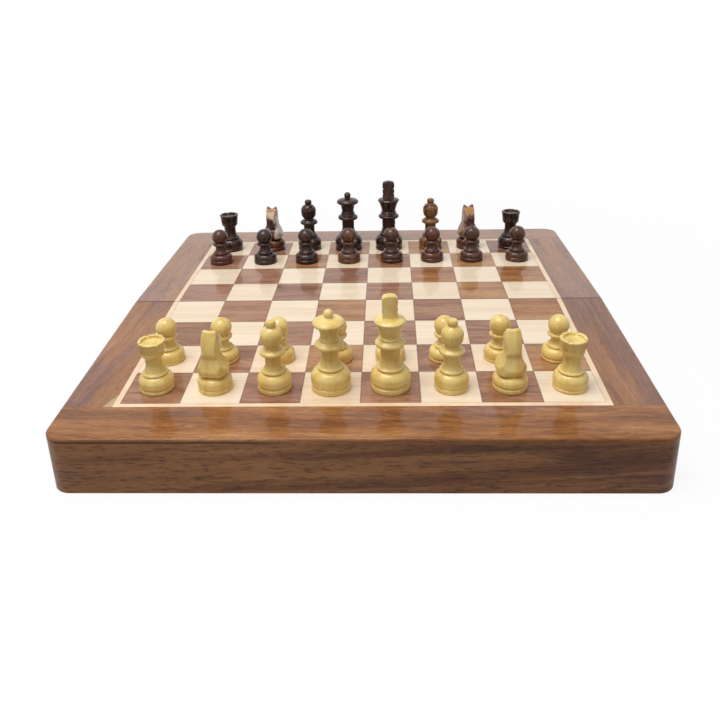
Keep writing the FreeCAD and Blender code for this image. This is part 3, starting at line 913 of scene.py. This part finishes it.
front_rows = (
    (0.74, 0.063, 0), (0.88, 0.14, 0.1), (0.85, 0.21, 0.05), (0.5, 0.435, -0.05),
    (0.43, 0.58, -0.03), (0.47, 0.84, 0), (0.4, 1.0, 0),
)
knight_radius = 0.0091
knight_height = 0.0348
carved_height = 0.0271
knight_girth = 0.0084
cheek_width = 0.0084
cheek_taper = math.radians(10)
chin_height = 0.0206
mouth_low = Vector((-0.006, -0.01, 0.0234))
mouth_high = Vector((0.006, -0.0062, 0.0239))
eye = (0.0041, -0.0026, 0.0283, 0.0008)
nostril = (0.0026, -0.0083, 0.0256, 0.0006)
rough_grid, rough_sanding = 0.0005, 7
fine_grid, fine_sanding = 0.00026, 5


def cut_face(head):
    """Cheeks pared towards the muzzle, the mouth sawn in, and drilled eyes and nostrils."""
    for side in (1, -1):
        low = Vector((min(side, 0) * knight_radius, -2 * knight_radius, chin_height))
        high = Vector((max(side, 0) * knight_radius, 2 * knight_radius, 2 * knight_height))
        cheek_saw = new_block("cheek_saw", low, high)
        cheek_line = Matrix.Rotation(-cheek_taper * side, 4, "Z")
        cheek_saw.data.transform(Matrix.Translation((side * cheek_width / 2, 0, 0)) @ cheek_line)
        carve(head, cheek_saw, "DIFFERENCE")
    carve(head, new_block("mouth_saw", mouth_low, mouth_high), "DIFFERENCE")
    for x, y, z, radius in (eye, nostril):
        for side in (1, -1):
            bpy.ops.object.select_all(action="DESELECT")
            spot = (side * x, y, z)
            bpy.ops.mesh.primitive_ico_sphere_add(subdivisions=3, radius=radius, location=spot)
            drill = bpy.context.object
            bpy.ops.object.transform_apply(location=True)
            carve(head, drill, "DIFFERENCE")


def sand(piece, grid, passes):
    """Wears a carved piece smooth over a fine grid."""
    apply_modifier(piece, "REMESH", mode="VOXEL", voxel_size=grid)
    apply_modifier(piece, "SMOOTH", factor=0.5, iterations=passes)


def knight_pattern(notch):
    """Knight with the notch between its ears cut down to a share of the carved height."""
    base = knight_height - carved_height
    rows = scaled_rows(side_rows, knight_radius, base, carved_height)
    head = plate("knight_pattern", trace(rows), 2 * knight_radius)
    head.data.transform(Matrix.Rotation(math.radians(-90), 4, "Z"))
    rows = scaled_rows(front_rows + ((0.0, notch, 0),), knight_radius, base, carved_height)
    carve(head, plate("front_saw", closed_outline(rows), 3 * knight_radius), "INTERSECT")
    corners = (0, 0), (knight_girth, 0), (knight_girth, knight_height), (0, knight_height)
    blank = turn_on_lathe("knight_blank", [Vector((r, 0.0, z)) for r, z in corners])
    carve(head, blank, "INTERSECT")
    sand(head, rough_grid, rough_sanding)
    cut_face(head)
    sand(head, fine_grid, fine_sanding)
    knight = turn_on_lathe("knight_pattern", man_outline(knight_base_rows, knight_radius))
    ease_edges(knight)
    carve(knight, head, "UNION")
    knight.select_set(True)
    bpy.ops.object.shade_smooth_by_angle(angle=smooth_angle)
    return knight


ear_length = 0.0027
brow_height = 0.0268
flank_foot = 0.0095
dark_streak = (0.35, (0.03, 0.009, 0.005)), (0.65, (0.15, 0.045, 0.018))
tan_streak = (0.3, (0.32, 0.14, 0.045)), (0.7, (0.5, 0.26, 0.1))
# Painted highlight: cream for the lit facets on the flank of b8.
painted_highlight_cream = (0.3, (0.4, 0.33, 0.25)), (0.7, (0.62, 0.55, 0.44))
russet_streak = (0.3, (0.14, 0.055, 0.026)), (0.7, (0.3, 0.15, 0.08))


def streaked_and_highlit_knight_finish(node, side, flank_streak_and_painted_highlight):
    """Dark rosewood, a tan forehead under dark ears, and a flank colour, on b8 a painted highlight.
    """
    low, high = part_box(node)
    middle = (low + high) / 2
    material, shader, place = new_finish(node + "_streaked", **high_polish)
    own = placed(place, (-middle.x, -middle.y, -low.z))
    fibres = noise(place, (1500.0, 1500.0, 70.0), 2.0)
    bands = noise(place, (240.0, 240.0, 60.0), 3.0)
    height = part_of(own, "Z") + (bands - 0.5) * 0.006
    dark = ramp(bands * 0.8 + fibres * 0.2, dark_streak)
    tan = ramp(bands * 0.6 + fibres * 0.4, tan_streak)
    flank_tone_and_painted_highlight = ramp(bands * 0.5 + fibres * 0.5, flank_streak_and_painted_highlight)
    ears = high.z - low.z - ear_length
    below_ears = 1.0 - between(part_of(own, "Z"), ears, ears + 0.0008)
    forehead = between(height, brow_height, brow_height + 0.0018) * below_ears
    # Flank mask: on b8 it carries a painted highlight, on g8 a russet streak of the wood.
    flank = between(part_of(own, "X") * side + (bands - 0.5) * 0.003, 0.0012, 0.003)
    flank = flank * between(height, flank_foot, flank_foot + 0.001) * below_ears
    feed(shader, Base_Color=mix(forehead, mix(flank, dark, flank_tone_and_painted_highlight), tan))
    feed(shader, Roughness=0.24 + fibres * 0.12, Normal=grain_bump(fibres, 0.05, 0.00004))
    return material


white_knight = knight_pattern(0.972)
set_out(white_knight, "white_knight_b1", -8)
set_out(white_knight, "white_knight_g1", 6)
bpy.data.objects.remove(white_knight)
black_knight = knight_pattern(0.893)
# b8 gets a painted highlight in cream on its flank, g8 a russet streak.
for node, turn, side, flank_tone_and_painted_highlight in (
    ("black_knight_b8", -5, 1, painted_highlight_cream), ("black_knight_g8", 10, -1, russet_streak),
):
    set_out(black_knight, node, turn, streaked_and_highlit_knight_finish(node, side, flank_tone_and_painted_highlight))
bpy.data.objects.remove(black_knight)


# Table and light
# A clear sheet on a white surround: it catches the shadow and a little light of the lamps, and lets
# the half that folds under the board be seen. Soft lamps hang overhead.
floor_radius = 6.0
sheet_near, sheet_reach = 0.2, 0.55
sheet_clearness = 0.9
fill_strength = 0.3
bpy.ops.object.select_all(action="DESELECT")
bpy.ops.mesh.primitive_circle_add(vertices=96, radius=floor_radius, fill_type="NGON")
floor = bpy.context.object
floor.name = "floor"
pale_sheet = bpy.data.materials.new("pale_sheet")
pale_sheet.use_nodes = True
pale_sheet.node_tree.nodes.clear()
sheet = Thread(pale_sheet.node_tree, None)
bounced = sheet.node("LightPath", {}, {}, output="Is Diffuse Ray")
shadow = sheet.node("LightPath", {}, {}, output="Is Shadow Ray")
spot = sheet.node("TexCoord", {}, {}, output="Object")
distance = spot.node("VectorMath", {"operation": "LENGTH"}, {0: spot}, output=1)
outward = between(distance, sheet_near, sheet_reach)
clearness = sheet_clearness + outward * (1.0 - sheet_clearness)
clearness = sheet.math("MAXIMUM", clearness, shadow)
white = sheet.node("BsdfDiffuse", {}, {"Color": (0.9, 0.9, 0.9, 1.0)})
grey = sheet.node("BsdfDiffuse", {}, {"Color": (0.35, 0.35, 0.35, 1.0)})
clear = sheet.node("BsdfTransparent", {}, {})
shown = sheet.node("MixShader", {}, {0: clearness, 1: white, 2: clear})
sheet.node("OutputMaterial", {}, {0: sheet.node("MixShader", {}, {0: bounced, 1: shown, 2: grey})})
floor.data.materials.append(pale_sheet)

world = bpy.data.worlds.new("surround")
bpy.context.scene.world = world
world.use_nodes = True
world.node_tree.nodes.clear()
sky = Thread(world.node_tree, None)
looked_at = sky.node("LightPath", {}, {}, output="Is Camera Ray")
mirrored = sky.node("LightPath", {}, {}, output="Is Glossy Ray")
let_through = sky.node("LightPath", {}, {}, output="Is Transmission Ray")
seen = sky.math("MAXIMUM", looked_at, sky.math("MAXIMUM", mirrored, let_through))
lit = sky.node("Background", {}, {"Color": (1.0, 1.0, 1.0, 1.0), "Strength": fill_strength})
white = sky.node("Background", {}, {"Color": (1.0, 1.0, 1.0, 1.0), "Strength": 1.0})
sky.node("OutputWorld", {}, {0: sky.node("MixShader", {}, {0: seen, 1: lit, 2: white})})

# Place, width and power of each lamp.
lamps = (
    (-0.3, -0.2, 1.3, 0.9, 14.6), (-1.2, -0.9, 1.3, 0.3, 1.8),
    (1.0, -0.9, 1.3, 0.3, 1.4), (0.2, -1.2, 1.3, 0.25, 1.0),
)
for x, y, z, size, energy in lamps:
    bpy.ops.object.light_add(type="AREA", location=(x, y, z))
    lamp = bpy.context.object
    lamp.data.shape = "DISK"
    lamp.data.size = size
    lamp.data.energy = energy
    aim = Vector((0, 0, 0)) - lamp.location
    lamp.rotation_euler = aim.to_track_quat("-Z", "Y").to_euler()


# Camera
# Where the photographer stood, a little to the right of the middle and well above the board. Its
# place is counted in squares from the middle of the seam.
lens_pixels = 779.25
image_pixels = 720.0
principal_row = 256.25
yaw, pitch, roll = (math.radians(a) for a in (-2.28, 20.37, -1.41))
seam_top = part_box("front_light_squares")[1].z
stand_point = Vector((0.50003, -15.151, 6.6152)) * square + Vector((0, 0, seam_top))
ahead = Vector((math.sin(yaw), math.cos(yaw), 0.0)) * math.cos(pitch)
ahead.z = -math.sin(pitch)
level = Vector((math.cos(yaw), -math.sin(yaw), 0.0))
upright = level.cross(ahead)
right = level * math.cos(roll) + upright * math.sin(roll)
up = upright * math.cos(roll) - level * math.sin(roll)
camera_data = bpy.data.cameras.new("camera")
camera_data.sensor_width = 36.0
camera_data.lens = camera_data.sensor_width * lens_pixels / image_pixels
camera_data.shift_y = (principal_row - image_pixels / 2) / image_pixels
camera_data.clip_start = 0.01
camera = bpy.data.objects.new("camera", camera_data)
bpy.context.scene.collection.objects.link(camera)
turned = Matrix((right, up, -ahead)).transposed().to_4x4()
camera.matrix_world = Matrix.Translation(stand_point) @ turned
bpy.context.scene.camera = camera
bpy.context.scene.view_settings.view_transform = "Standard"
